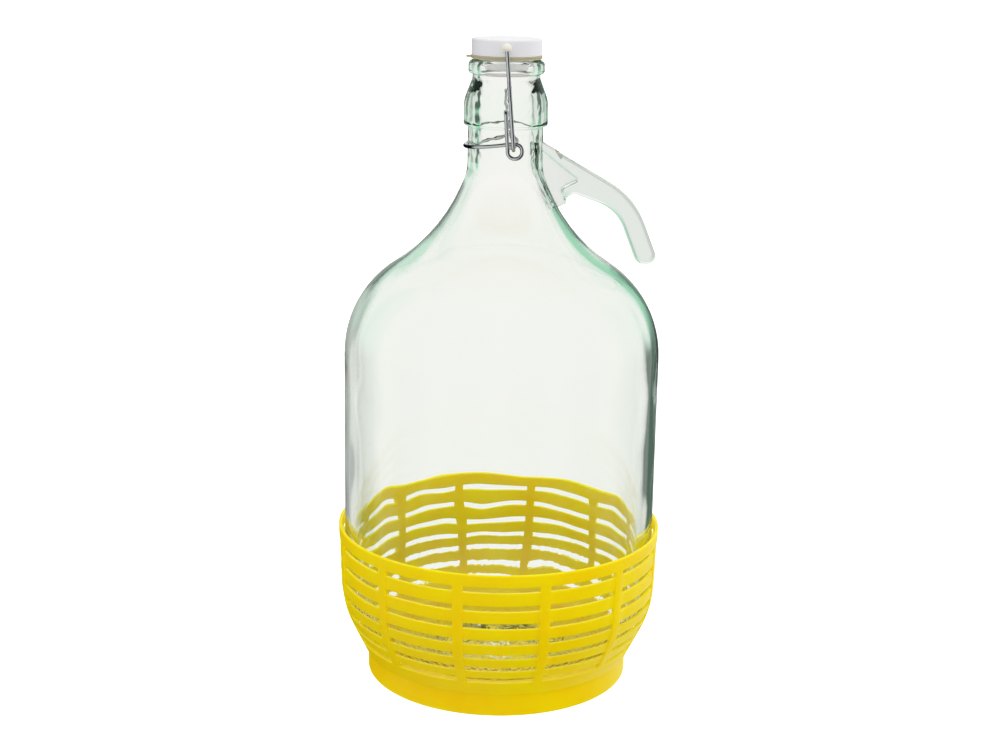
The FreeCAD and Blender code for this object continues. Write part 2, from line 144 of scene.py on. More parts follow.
def add_node(tree, kind, feeds=None, **settings):
    """One node. Feeds give each input a value, or the output that is linked to it."""
    node = tree.nodes.new("ShaderNode" + kind)
    for name, value in settings.items():
        setattr(node, name, value)
    for key, value in (feeds or {}).items():
        if isinstance(value, bpy.types.NodeSocket):
            tree.links.new(value, node.inputs[key])
        else:
            node.inputs[key].default_value = value
    return node


def per_metre(pitch):
    """The scale of a pattern that repeats at a pitch in millimetres."""
    return 1 / (pitch * MM)


def new_material(name):
    """An empty material, its node tree and its output node."""
    material = bpy.data.materials.new(name)
    material.use_nodes = True
    material.node_tree.nodes.clear()
    return material, material.node_tree, add_node(material.node_tree, "OutputMaterial")


def green_soda_lime_glass():
    """Blown soda-lime glass with a little iron in it: clear face on, green where light runs far inside it.

    The handle's flat front, pressed in a mould, is a little matt and carries a painted shade, a grey-green tint,
    and the heel is knurled.
    Light on its way to what is behind the glass goes straight through, so that the glass leaves no shadow.
    """
    material, tree, output = new_material("green_soda_lime_glass")
    place = add_node(tree, "TexCoord").outputs["Object"]
    height = add_node(tree, "SeparateXYZ", {0: place}).outputs[2]
    on_heel = add_node(tree, "MapRange", {
        "Value": height, "From Min": HEEL_MARKS_TOP * MM, "From Max": HEEL_MARKS_FULL * MM},
        interpolation_type="SMOOTHSTEP")
    knurls = add_node(tree, "TexVoronoi", {"Vector": place, "Scale": per_metre(KNURL_PITCH)}, feature="SMOOTH_F1")
    marks = add_node(tree, "Bump", {
        "Height": knurls.outputs[0], "Strength": on_heel.outputs[0], "Distance": KNURL_RELIEF * MM})
    pressed = add_node(tree, "Attribute", attribute_name="pressed")
    matt = add_node(tree, "Math", {0: pressed.outputs["Fac"], 1: 0.32}, operation="MULTIPLY")
    # Painted shade: where the handle's flat front is marked, the glass is tinted grey-green.
    pressed_front_painted_shade = add_node(tree, "Mix", {
        "Factor": pressed.outputs["Fac"], "A": colour("FFFFFF"), "B": colour("DFE8E5")}, data_type="RGBA")
    surface = add_node(tree, "BsdfPrincipled", {
        "Base Color": pressed_front_painted_shade.outputs["Result"], "Roughness": matt.outputs[0], "IOR": 1.52,
        "Transmission Weight": 1.0, "Specular Tint": colour("7E7E7E"), "Normal": marks.outputs[0]})
    through = add_node(tree, "BsdfTransparent", {"Color": colour("FFFFFF")})
    path = add_node(tree, "LightPath")
    either = add_node(tree, "MixShader", {
        "Fac": path.outputs["Is Shadow Ray"], 1: surface.outputs[0], 2: through.outputs[0]})
    depth = add_node(tree, "VolumeAbsorption", {"Color": (0.45, 0.93, 0.62, 1.0), "Density": 12.5})
    tree.links.new(either.outputs[0], output.inputs["Surface"])
    tree.links.new(depth.outputs[0], output.inputs["Volume"])
    return material


def yellow_polyethylene():
    """Injection moulded polyethylene: waxy, and light goes into it, with faint flow marks about 26 mm wide.

    The mould's grain of some tenths of a millimetre is drawn as coarse as it needs to show.
    """
    material, tree, output = new_material("yellow_polyethylene")
    place = add_node(tree, "TexCoord")
    cloud = add_node(tree, "TexNoise", {
        "Vector": place.outputs["Object"], "Scale": per_metre(26.3), "Detail": 3.0})
    tone = add_node(tree, "ValToRGB", {"Fac": cloud.outputs[0]})
    for stop, position, code in zip(tone.color_ramp.elements, (0.3, 0.7), ("F9CA03", "FDD504")):
        stop.position, stop.color = position, colour(code)
    grain = add_node(tree, "TexNoise", {
        "Vector": place.outputs["Object"], "Scale": per_metre(2.38), "Detail": 2.0})
    bump = add_node(tree, "Bump", {"Height": grain.outputs[0], "Strength": 0.12, "Distance": 0.4 * MM})
    surface = add_node(tree, "BsdfPrincipled", {
        "Base Color": tone.outputs[0], "Roughness": 0.45, "IOR": 1.51, "Normal": bump.outputs[0],
        "Specular IOR Level": 0.2, "Subsurface Weight": 1.0, "Subsurface Radius": (1.0, 1.0, 0.05),
        "Subsurface Scale": 5.0 * MM})
    tree.links.new(surface.outputs[0], output.inputs["Surface"])
    return material


def white_polypropylene():
    """Moulded white polypropylene with a soft gloss; the two balls that the wire turns in are painted creamier and
    brighter, a cream tint with a painted highlight.
    """
    material, tree, output = new_material("white_polypropylene")
    place = add_node(tree, "TexCoord")
    grain = add_node(tree, "TexNoise", {
        "Vector": place.outputs["Object"], "Scale": per_metre(1.11), "Detail": 2.0})
    bump = add_node(tree, "Bump", {"Height": grain.outputs[0], "Strength": 0.08, "Distance": 0.2 * MM})
    across = add_node(tree, "SeparateXYZ", {0: place.outputs["Object"]}).outputs[1]
    out = add_node(tree, "Math", {0: across}, operation="ABSOLUTE")
    # Painted highlight: the balls get a cream tint and a brighter base colour than the cap, standing in for light
    # caught on their tops.
    ball_cream_and_highlight = add_node(tree, "Math", {0: out.outputs[0], 1: CAP_RADIUS * MM}, operation="GREATER_THAN")
    tone = add_node(tree, "Mix", {
        "Factor": ball_cream_and_highlight.outputs[0], "A": colour("EAEAED"), "B": colour("F3F0E2")}, data_type="RGBA")
    surface = add_node(tree, "BsdfPrincipled", {
        "Base Color": tone.outputs["Result"], "Roughness": 0.35, "IOR": 1.49, "Normal": bump.outputs[0]})
    tree.links.new(surface.outputs[0], output.inputs["Surface"])
    return material


def beige_rubber():
    """Natural rubber, matt, with dust in clouds about 6 mm wide."""
    material, tree, output = new_material("beige_rubber")
    place = add_node(tree, "TexCoord")
    cloud = add_node(tree, "TexNoise", {
        "Vector": place.outputs["Object"], "Scale": per_metre(6.25), "Detail": 4.0})
    tone = add_node(tree, "ValToRGB", {"Fac": cloud.outputs[0]})
    tone.color_ramp.elements[0].color = colour("A8A284")
    tone.color_ramp.elements[1].color = colour("C2BB98")
    surface = add_node(tree, "BsdfPrincipled", {
        "Base Color": tone.outputs[0], "Roughness": 0.75, "IOR": 1.52})
    tree.links.new(surface.outputs[0], output.inputs["Surface"])
    return material


def zinc_plated_wire():
    """Drawn steel wire with a bright zinc plate: mirror-like, with a faint unevenness, drawn coarse to show."""
    material, tree, output = new_material("zinc_plated_wire")
    place = add_node(tree, "TexCoord")
    grain = add_node(tree, "TexNoise", {
        "Vector": place.outputs["Object"], "Scale": per_metre(0.667), "Detail": 3.0})
    bump = add_node(tree, "Bump", {"Height": grain.outputs[0], "Strength": 0.2, "Distance": 0.1 * MM})
    surface = add_node(tree, "BsdfPrincipled", {
        "Base Color": colour("B9BBBE"), "Metallic": 1.0, "Roughness": 0.1, "Normal": bump.outputs[0]})
    tree.links.new(surface.outputs[0], output.inputs["Surface"])
    return material


def white_table():
    """The white acrylic of a photo table, lit a little from below, which leaves almost no shadow."""
    material, tree, output = new_material("white_table")
    surface = add_node(tree, "BsdfPrincipled", {
        "Base Color": colour("F4F4F4"), "Roughness": 0.9,
        "Emission Color": colour("FFFFFF"), "Emission Strength": 0.8})
    tree.links.new(surface.outputs[0], output.inputs["Surface"])
    return material


def heading(degrees):
    """The direction in the XZ plane that runs towards +X and down by an angle."""
    return Vector((math.cos(math.radians(degrees)), -math.sin(math.radians(degrees))))


def rounded(corners, longest=LONGEST_RUN):
    """The points of a path of straight runs and tangent arcs, in millimetres.

    Each corner is its place followed by its bend radius.
    """
    places = [Vector(corner[:-1]) for corner in corners]
    points = [places[0]]
    for i in range(1, len(corners)):
        travel = (places[i] - places[i - 1]).normalized()
        radius = corners[i][-1] if i < len(corners) - 1 else 0
        turn = travel.angle(places[i + 1] - places[i]) if radius else 0
        entry = places[i] - travel * (radius * math.tan(turn / 2))
        run = entry - points[-1]
        pieces = math.ceil(run.length / longest - 0.01)
        points += [points[-1] + run * (k / pieces) for k in range(1, pieces + 1)]
        if radius:
            ahead = (places[i + 1] - places[i]).normalized()
            inward = (ahead - travel * ahead.dot(travel)).normalized()
            count = max(2, math.ceil(turn / ARC_STEP))
            for angle in (turn * k / count for k in range(1, count + 1)):
                ahead_by, inward_by = radius * math.sin(angle), radius * (1 - math.cos(angle))
                points.append(entry + travel * ahead_by + inward * inward_by)
    return points


def moved_in(outline, distance):
    """The inner corners of an outline, moved to its left by a distance, with their bends kept concentric."""
    shifted = []
    for before, corner, after in zip(outline, outline[1:], outline[2:]):
        a = (Vector(corner[:2]) - Vector(before[:2])).normalized()
        b = (Vector(after[:2]) - Vector(corner[:2])).normalized()
        turn = math.asin(a.x * b.y - a.y * b.x)
        along = distance * math.tan(turn / 2)
        x, z = corner[0] - a.y * distance - a.x * along, corner[1] + a.x * distance - a.y * along
        shifted.append((x, z, corner[2] - math.copysign(distance, turn)))
    return shifted


def deselect_all():
    """Nothing is selected, so that an operator acts only on what comes next."""
    if bpy.context.object and bpy.context.object.mode != "OBJECT":
        bpy.ops.object.mode_set(mode="OBJECT")
    bpy.ops.object.select_all(action="DESELECT")


def make_active(piece):
    """The one selected object."""
    deselect_all()
    piece.select_set(True)
    bpy.context.view_layer.objects.active = piece


def drawn_chain(name, points, closed=False):
    """A chain of edges, drawn by extruding one vertex. Points of two numbers lie in the XZ plane."""
    places = [(Vector((p.x, 0, p.y)) if len(p) == 2 else p) * MM for p in points]
    if closed:
        places.append(places[0])
    deselect_all()
    bpy.ops.mesh.primitive_plane_add(size=MM, location=places[0])
    piece = bpy.context.object
    piece.name = piece.data.name = name
    bpy.ops.object.transform_apply(location=True, rotation=True, scale=True)
    bpy.ops.object.mode_set(mode="EDIT")
    bpy.ops.mesh.select_mode(type="VERT")
    bpy.ops.mesh.merge(type="CENTER")
    for start, end in zip(places, places[1:]):
        bpy.ops.mesh.extrude_region_move(TRANSFORM_OT_translate={"value": end - start})
    bpy.ops.mesh.select_all(action="SELECT")
    if closed:
        bpy.ops.mesh.remove_doubles(threshold=0.01 * MM)
    return piece


def choose(piece, kind, fits):
    """Selects, in edit mode, the edges or faces that pass a test."""
    bpy.ops.mesh.select_mode(type=kind)
    bpy.ops.mesh.select_all(action="DESELECT")
    mesh = bmesh.from_edit_mesh(piece.data)
    for part in mesh.edges if kind == "EDGE" else mesh.faces:
        part.select_set(fits(part))
    bmesh.update_edit_mesh(piece.data)


def middle(part):
    """The middle of an edge or a face, in millimetres."""
    return sum((corner.co for corner in part.verts), Vector()) / len(part.verts) / MM


def close_up(piece, smooth_angle=math.radians(40)):
    """Merges seams and poles, points the faces outwards and shades the piece smooth. Ends in object mode."""
    make_active(piece)
    bpy.ops.object.mode_set(mode="EDIT")
    bpy.ops.mesh.select_all(action="SELECT")
    bpy.ops.mesh.remove_doubles(threshold=0.005 * MM)
    bpy.ops.mesh.normals_make_consistent(inside=False)
    bpy.ops.object.mode_set(mode="OBJECT")
    bpy.ops.object.shade_smooth_by_angle(angle=smooth_angle)


def finish_with(piece, kind, **settings):
    """Adds a modifier and applies it."""
    make_active(piece)
    modifier = piece.modifiers.new(kind.lower(), kind)
    for name, value in settings.items():
        setattr(modifier, name, value)
    bpy.ops.object.modifier_apply(modifier=modifier.name)


def combine(piece, other, operation):
    """Joins another shape to the piece, or carves it out of the piece."""
    finish_with(piece, "BOOLEAN", operation=operation, solver="EXACT", object=other)
    bpy.data.objects.remove(other)


def plate(name, corners, low, high):
    """A flat plate in the XZ plane, from one Y to another. Left in edit mode."""
    piece = drawn_chain(name, rounded(corners)[:-1], closed=True)
    bpy.ops.mesh.edge_face_add()
    bpy.ops.transform.translate(value=(0, low * MM, 0))
    bpy.ops.mesh.extrude_region_move(TRANSFORM_OT_translate={"value": (0, (high - low) * MM, 0)})
    return piece


def bar_across(radius, reach, height):
    """A round bar along Y, as far to the front as to the back."""
    deselect_all()
    bpy.ops.mesh.primitive_cylinder_add(vertices=48, radius=radius * MM, depth=2 * reach * MM,
                                        location=(0, 0, height * MM), rotation=(math.pi / 2, 0, 0))
    return bpy.context.object


def dress(piece, material):
    """Gives the piece one material."""
    piece.data.materials.clear()
    piece.data.materials.append(material)


def stands_for(piece, node, body, material):
    """Dresses a piece that takes a node's place, and lets it ride on the node's body."""
    dress(piece, material)
    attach(piece, body)
    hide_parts(node)


def jug_outline():
    """The jug's section from the middle of its base, up the outside, over the lip and down the inside."""
    ring = BODY_RADIUS - HEEL_RADIUS - REST_RING_WIDTH
    body = [
        (0, JUG_BASE + PUSH_UP, 0),
        (ring - PUSH_UP_RADIUS / 2, JUG_BASE + PUSH_UP, PUSH_UP_RADIUS),
        (ring, JUG_BASE, 0.8),
        (BODY_RADIUS, JUG_BASE, HEEL_RADIUS),
        (BODY_RADIUS, WALL_CORNER, SHOULDER_RADIUS),
        (FLARE_RADIAL, FLARE_HEIGHT, FLARE_RADIUS),
        (NECK_RADIUS, NECK_ROOT, NECK_ROOT_RADIUS),
    ]
    mouth = [
        (NECK_RADIUS, COLLAR_LOW, 0.8),
        (COLLAR_RADIUS, COLLAR_LOW, 1.4),
        (COLLAR_RADIUS, COLLAR_BEND, 18.0),
        (GROOVE_RADIUS, GROOVE_LOW, 0.6),
        (GROOVE_RADIUS, GROOVE_HIGH, 0.6),
        (LIP_RADIUS, GROOVE_HIGH, 1.8),
        (LIP_RADIUS, MOUTH, 3.0),
        (BORE_RADIUS, MOUTH, 1.5),
    ]
    heel, shoulder, flare = moved_in(body[2:], JUG_WALL)
    root = flare[1] + (flare[0] - BORE_RADIUS) / math.tan(FLARE_SLOPE)
    inside_base = JUG_BASE + PUSH_UP + JUG_WALL
    inside = [
        (BORE_RADIUS, root, NECK_ROOT_RADIUS / 2),
        flare,
        shoulder,
        heel,
        (BODY_RADIUS - HEEL_RADIUS, JUG_BASE + JUG_WALL, 0.8),
        (BODY_RADIUS - HEEL_RADIUS - PUSH_UP_RADIUS / 2, inside_base, PUSH_UP_RADIUS / 2),
        (0, inside_base, 0),
    ]
    return rounded(body + mouth + inside)


def uneven_inside(jug):
    """Blown glass is smooth outside, where the mould was, and uneven inside, with more glass below the neck.

    The bore of the neck is crinkled more finely.
    """
    inner = jug.vertex_groups.new(name="inner_wall")
    moves = {}
    for vertex in jug.data.vertices:
        place = vertex.co / MM
        away = Vector((place.x, place.y, 0)).normalized()
        if away.dot(vertex.normal) < -0.3 and UNEVEN_LOW < place.z < UNEVEN_HIGH:
            ease = min(1, (place.z - UNEVEN_LOW) / FADE_LOW, (UNEVEN_HIGH - place.z) / FADE_HIGH)
            inner.add([vertex.index], ease, "REPLACE")
            moves[vertex.index] = away * (BLOWN_THICKER * ease * MM)
    for index, move in moves.items():
        jug.data.vertices[index].co -= move
    ripple = bpy.data.textures.new("ripple", "CLOUDS")
    ripple.noise_scale = RIPPLE_SIZE * MM
    ripple.noise_depth = 1
    ripple.noise_basis = "IMPROVED_PERLIN"
    finish_with(jug, "DISPLACE", texture=ripple, texture_coords="LOCAL", vertex_group=inner.name,
                strength=RIPPLE_DEPTH * MM, mid_level=0.5)
    bore = jug.vertex_groups.new(name="bore")
    for vertex in jug.data.vertices:
        low, high = vertex.co.z / MM - NECK_ROOT, MOUTH - BORE_TOP_DROP - vertex.co.z / MM
        if math.hypot(vertex.co.x, vertex.co.y) < (BORE_RADIUS + 0.5) * MM and low > 0 and high > 0:
            bore.add([vertex.index], min(1, low / BORE_FADE_LOW, high / BORE_FADE_HIGH), "REPLACE")
    crinkle = bpy.data.textures.new("crinkle", "CLOUDS")
    crinkle.noise_scale = CRINKLE_SIZE * MM
    crinkle.noise_depth = 1
    finish_with(jug, "DISPLACE", texture=crinkle, texture_coords="LOCAL", vertex_group=bore.name,
                strength=CRINKLE_DEPTH * MM, mid_level=0.5)


def handle():
    """The pressed handle: a flat-sided bar with round edges, and a web sunk into both sides beside the neck."""
    along, down, under = heading(HANDLE_SLOPE), heading(TIP_SLOPE), heading(UNDER_SLOPE)
    top = Vector((NECK_RADIUS, COLLAR_LOW - HANDLE_DROP))
    in_wall = (NECK_RADIUS - BORE_RADIUS) / 2
    root = top - along * in_wall
    elbow = top + along * HANDLE_REACH
    outer_end = elbow + down * TIP_LENGTH
    inner_end = outer_end + Vector((down.y, -down.x)) * TIP_WIDTH
    inner_elbow = inner_end - down * INNER_LENGTH
    arch = inner_elbow - under * UNDER_LENGTH
    bar = plate("glass_handle", [
        (*root, 0),
        (*elbow, HANDLE_ELBOW),
        (*outer_end, TIP_OUTER),
        (*inner_end, TIP_INNER),
        (*inner_elbow, INNER_ELBOW),
        (*arch, ARCH_RADIUS),
        (arch.x, arch.y - LOBE_DROP, 0),
        *WALL_MIDDLE,
        (*root, 0),
    ], -HANDLE_THICKNESS / 2, HANDLE_THICKNESS / 2)
    side = HANDLE_THICKNESS / 2 - 0.01
    choose(bar, "EDGE", lambda edge: abs(middle(edge).y) > side and middle(edge).x > arch.x - 0.01)
    bpy.ops.mesh.bevel(offset=HANDLE_EDGE * MM, segments=5, profile=0.5, clamp_overlap=False)
    close_up(bar)
    beyond = arch.x + HANDLE_EDGE
    sunk = [(root.x - 1, WEB_TOP, 0), WEB_TIP, WEB_LOW, (beyond, arch.y - 2 * LOBE_DROP, 0),
            (beyond, FLARE_HEIGHT, 0), (root.x - 1, FLARE_HEIGHT, 0), (root.x - 1, WEB_TOP, 0)]
    for front, back in ((-HANDLE_THICKNESS, -WEB_THICKNESS / 2), (WEB_THICKNESS / 2, HANDLE_THICKNESS)):
        pocket = plate("pocket", sunk, front, back)
        floor = back if back < 0 else front
        choose(pocket, "EDGE", lambda edge: abs(middle(edge).y - floor) < 0.01)
        bpy.ops.mesh.bevel(offset=WEB_EDGE * MM, segments=3, profile=0.5)
        close_up(pocket)
        combine(bar, pocket, "DIFFERENCE")
    return bar


def mark_pressed(jug):
    """Marks the flat front of the handle, clear of neck and shoulder, for the glass to be matt there and to take a
    painted shade.
    """
    pressed = jug.data.attributes.new("pressed", "FLOAT", "FACE")
    for face in jug.data.polygons:
        flat = face.normal.y < -0.97 and abs(face.center.y) < (HANDLE_THICKNESS / 2 + 0.1) * MM
        if flat and face.center.x > NECK_RADIUS * MM:
            pressed.data[face.index].value = 1.0


def glass_jug():
    """The blown jug: a spun wall, uneven inside, with its handle and the dimples that the lever turns in."""
    jug = drawn_chain("blown_jug", jug_outline())
    bpy.ops.mesh.spin(steps=SPIN_STEPS, angle=FULL_TURN, center=(0, 0, 0), axis=UP)
    choose(jug, "EDGE", lambda edge: abs(edge.verts[0].co.z - edge.verts[1].co.z) > MM
           and all(math.hypot(end.co.x, end.co.y) < (BORE_RADIUS + 0.05) * MM and end.co.z > WALL_CORNER * MM
                   for end in edge.verts))
    bpy.ops.mesh.subdivide(number_cuts=BORE_CUTS)
    close_up(jug)
    uneven_inside(jug)
    combine(jug, handle(), "UNION")
    dimple = COLLAR_RADIUS - PIVOT_DEPTH
    pins = bar_across(DIMPLE_RADIUS, COLLAR_RADIUS + 1, PIVOT_HEIGHT)
    combine(pins, bar_across(DIMPLE_RADIUS + 1, dimple, PIVOT_HEIGHT), "DIFFERENCE")
    combine(jug, pins, "DIFFERENCE")
    close_up(jug, math.radians(32))
    mark_pressed(jug)
    return jug


def slot_middles():
    """The middle of each row of slots, from the rim down, closing up towards the foot."""
    heights = [RIM_HEIGHT - SLOT_TOP_DROP]
    for row in range(SLOT_ROWS - 1):
        heights.append(heights[-1] - SLOT_PITCH * SLOT_SHRINK ** row)
    return heights


def basket_section():
    """The wall's section, with its slats set back from the frame's face, and a point at each slot's edge."""
    back = FRAME_RELIEF
    outside = [
        (FOOT_RADIUS - BASKET_WALL, 0, 0),
        (FOOT_RADIUS, 0, 1.1),
        (FOOT_RADIUS, FOOT_HEIGHT, 0),
        (CUP_FOOT_RADIUS - back, FOOT_HEIGHT, 0),
        (BEND_RADIAL - back, BEND_HEIGHT, BEND_RADIUS),
        (RIM_RADIUS - back, RIM_HEIGHT, RIM_EDGE),
        (RIM_RADIUS - BASKET_WALL, RIM_HEIGHT, RIM_EDGE),
    ]
    bend, = moved_in(outside[3:6], BASKET_WALL - back)
    inside = [
        bend,
        (CUP_FOOT_RADIUS - BASKET_WALL, FOOT_HEIGHT, 0),
        (FOOT_RADIUS - 2 * BASKET_WALL, JUG_BASE, 0),
        (DRAIN_RADIUS, JUG_BASE, 0),
        (DRAIN_RADIUS, FLOOR_LOW, 0),
        (FOOT_RADIUS - BASKET_WALL, FLOOR_LOW, 0),
        (FOOT_RADIUS - BASKET_WALL, 0, 0),
    ]
    points = rounded(outside + inside)
    for edge in [row + half for row in slot_middles() for half in (-SLOT_HEIGHT / 2, SLOT_HEIGHT / 2)]:
        for i in range(len(points) - 1, 0, -1):
            low, high = points[i - 1], points[i]
            if (low.y - edge) * (high.y - edge) < -1e-6:
                points.insert(i, low.lerp(high, (edge - low.y) / (high.y - low.y)))
    return points[:-1]


def basket():
    """The moulding: one bay between two ribs, with its slots opened, copied round, and the frame raised."""
    half_rib, bay = RIB_WIDTH / RIM_RADIUS / 2, FULL_TURN / RIBS
    piece = drawn_chain("moulded_basket", basket_section(), closed=True)
    for steps, angle in ((1, half_rib), (SLOT_STEPS, bay - 2 * half_rib), (1, half_rib)):
        bpy.ops.mesh.spin(steps=steps, angle=angle, center=(0, 0, 0), axis=UP)
    bpy.ops.mesh.select_all(action="SELECT")
    bpy.ops.mesh.remove_doubles(threshold=0.005 * MM)
    bpy.ops.mesh.normals_make_consistent(inside=False)

    def bearing(place):
        return abs(math.atan2(place.y, place.x))

    def beside_ribs(place):
        return half_rib - 0.001 < bearing(place) < bay - half_rib + 0.001

    spans = [(row - SLOT_HEIGHT / 2 - 0.01, row + SLOT_HEIGHT / 2 + 0.01) for row in slot_middles()]
    choose(piece, "FACE", lambda face: beside_ribs(middle(face))
           and any(low < middle(face).z < high for low, high in spans)
           and all(beside_ribs(corner.co) for corner in face.verts))
    bpy.ops.mesh.delete(type="FACE")
    for low, high in spans:
        choose(piece, "EDGE", lambda edge: edge.is_boundary
               and all(beside_ribs(end.co) and low < end.co.z / MM < high for end in edge.verts))
        bpy.ops.mesh.bridge_edge_loops()
    deselect_all()
    bays = [piece]
    for count in range(1, RIBS):
        make_active(piece)
        bpy.ops.object.duplicate()
        bays.append(bpy.context.object)
    for count, copy in enumerate(bays):
        copy.rotation_euler.z = FIRST_RIB + bay * count
        copy.select_set(True)
    bpy.context.view_layer.objects.active = piece
    bpy.ops.object.transform_apply(location=True, rotation=True, scale=True)
    bpy.ops.object.join()
    close_up(piece)

    slats = (spans[-1][0], spans[0][1])

    def on_frame(face):
        place = middle(face)
        outward = Vector((place.x, place.y, 0)).normalized().dot(face.normal)
        turn = (math.atan2(place.y, place.x) - FIRST_RIB) % bay
        on_rib = min(turn, bay - turn) < half_rib
        return outward > 0.5 and place.z > FOOT_HEIGHT and (on_rib or not slats[0] < place.z < slats[1])

    bpy.ops.object.mode_set(mode="EDIT")
    choose(piece, "FACE", on_frame)
    bpy.ops.mesh.extrude_region_shrink_fatten(TRANSFORM_OT_shrink_fatten={"value": FRAME_RELIEF * MM})
    deselect_all()
    finish_with(piece, "BEVEL", width=FRAME_EDGE * MM, segments=2,
                limit_method="ANGLE", angle_limit=math.radians(50))
    close_up(piece)
    return piece


def turned(name, corners, steps=96):
    """A shape spun about the jug's axis from an outline in the XZ plane."""
    piece = drawn_chain(name, rounded(corners))
    bpy.ops.mesh.spin(steps=steps, angle=FULL_TURN, center=(0, 0, 0), axis=UP)
    close_up(piece)
    return piece


def stopper():
    """The cap with its plug below, a boss at each end of the cross hole, and a ball over each bend of the wire."""
    top = CAP_LOW + CAP_HEIGHT
    cap = turned("swing_stopper", [
        (0, CAP_LOW - PLUG_LENGTH, 0),
        (PLUG_RADIUS, CAP_LOW - PLUG_LENGTH, 1.5),
        (PLUG_RADIUS, CAP_LOW, 0),
        (CAP_RADIUS, CAP_LOW, 0.4),
        (CAP_RADIUS, top, 1.0),
        (CAP_RADIUS - 4, top - 0.1, 2.0),
        (0, top - 0.1, 0),
    ])
    boss = bar_across(BOSS_RADIUS, BOSS_REACH, HOLE_HEIGHT)
    finish_with(boss, "BEVEL", width=0.8 * MM, segments=4, limit_method="ANGLE")
    combine(cap, boss, "UNION")
    combine(cap, bar_across(HOLE_RADIUS, 2 * CAP_RADIUS, HOLE_HEIGHT), "DIFFERENCE")
    for side in (-1, 1):
        place = Vector((0, side * BAIL_TOP_Y, HOLE_HEIGHT + BALL_RAISE)) * MM
        deselect_all()
        bpy.ops.mesh.primitive_uv_sphere_add(segments=40, ring_count=24, radius=BALL_RADIUS * MM, location=place)
        combine(cap, bpy.context.object, "UNION")
    close_up(cap)
    return cap


def gasket():
    """The washer: two thin lips with a groove between them, and a small pull tab."""
    mid = (GASKET_LOW + CAP_LOW) / 2
    washer = turned("rubber_gasket", [
        (GASKET_HOLE, CAP_LOW, 0),
        (GASKET_HOLE, GASKET_LOW, 0),
        (GASKET_RADIUS, GASKET_LOW, 0.3),
        (GASKET_RADIUS, mid - 0.25, 0.25),
        (GASKET_RADIUS - 0.7, mid, 0.2),
        (GASKET_RADIUS, mid + 0.25, 0.25),
        (GASKET_RADIUS, CAP_LOW, 0.3),
        (GASKET_HOLE, CAP_LOW, 0),
    ])
    sunk = 2.0
    deselect_all()
    bpy.ops.mesh.primitive_cube_add(size=MM, location=((sunk - TAB_REACH - GASKET_RADIUS) / 2 * MM, 0, mid * MM))
    tab = bpy.context.object
    tab.scale = (TAB_REACH - GASKET_RADIUS + sunk, TAB_WIDTH, TAB_THICKNESS)
    bpy.ops.object.transform_apply(location=True, rotation=True, scale=True)
    finish_with(tab, "BEVEL", width=0.4 * MM, segments=3, limit_method="ANGLE")
    combine(washer, tab, "UNION")
    close_up(washer)
    return washer


def bent_wire(name, half):
    """Round wire along a path that runs on behind the neck as it does in front."""
    corners = half + [(x, -y, z, radius) for x, y, z, radius in reversed(half)]
    piece = drawn_chain(name, rounded(corners, 3.0))
    deselect_all()
    make_active(piece)
    bpy.ops.object.convert(target="CURVE")
    piece.data.bevel_depth = WIRE_RADIUS * MM
    piece.data.bevel_resolution = 6
    piece.data.use_fill_caps = True
    bpy.ops.object.convert(target="MESH")
    close_up(piece)
    return piece


def lever_wire():
    """Pivot pin, arm, eye and half the loop round the neck."""
    pin_end = -(COLLAR_RADIUS - PIVOT_DEPTH + PIN_PLAY)
    left, right = EYE_X - EYE_RADIUS, EYE_X + EYE_RADIUS
    low, high = EYE_HEIGHT - EYE_RADIUS, EYE_HEIGHT + EYE_RADIUS
    bend = EYE_RADIUS * EYE_ROUNDNESS
    return bent_wire("lever_wire_bent", [
        (0, pin_end, PIVOT_HEIGHT, 0),
        (0, -LEVER_Y, PIVOT_HEIGHT, WIRE_BEND),
        (left, -LEVER_Y, low, bend),
        (right, -LEVER_Y, low, bend),
        (right, -(LEVER_Y + LOOP_Y) / 2, high, bend),
        (left + WIRE_RADIUS, -LOOP_Y, high, WIRE_BEND),
        (-LOOP_Y, -LOOP_Y, high - (left + LOOP_Y) * math.tan(LOOP_SLOPE), LOOP_Y * LOOP_ROUNDNESS),
    ])


def bail_wire():
    """Hook, arm and half the bar through the stopper."""
    run = Vector((HOOK_X, HOOK_HEIGHT - HOLE_HEIGHT))

    def at(distance, y, radius):
        place = run.normalized() * distance
        return (place.x, y, HOLE_HEIGHT + place.y, radius)

    return bent_wire("bail_wire_bent", [
        at(run.length, -(LEVER_Y - WIRE_RADIUS - HOOK_SHORT), 0),
        at(run.length, -BAIL_Y, WIRE_BEND),
        at(BAIL_OUT_END, -BAIL_Y, BAIL_OUT_BEND),
        at(BAIL_OUT_START, -BAIL_TOP_Y, BAIL_OUT_BEND),
        at(0, -BAIL_TOP_Y, 1.9),
    ])


def table():
    """The photo table, a wide pale sheet that only the camera sees."""
    deselect_all()
    bpy.ops.mesh.primitive_circle_add(vertices=96, radius=TABLE_RADIUS, fill_type="NGON")
    sheet = bpy.context.object
    sheet.name = "photo_table"
    dress(sheet, white_table())
    sheet.visible_diffuse = False
    sheet.visible_transmission = False
    sheet.visible_glossy = False


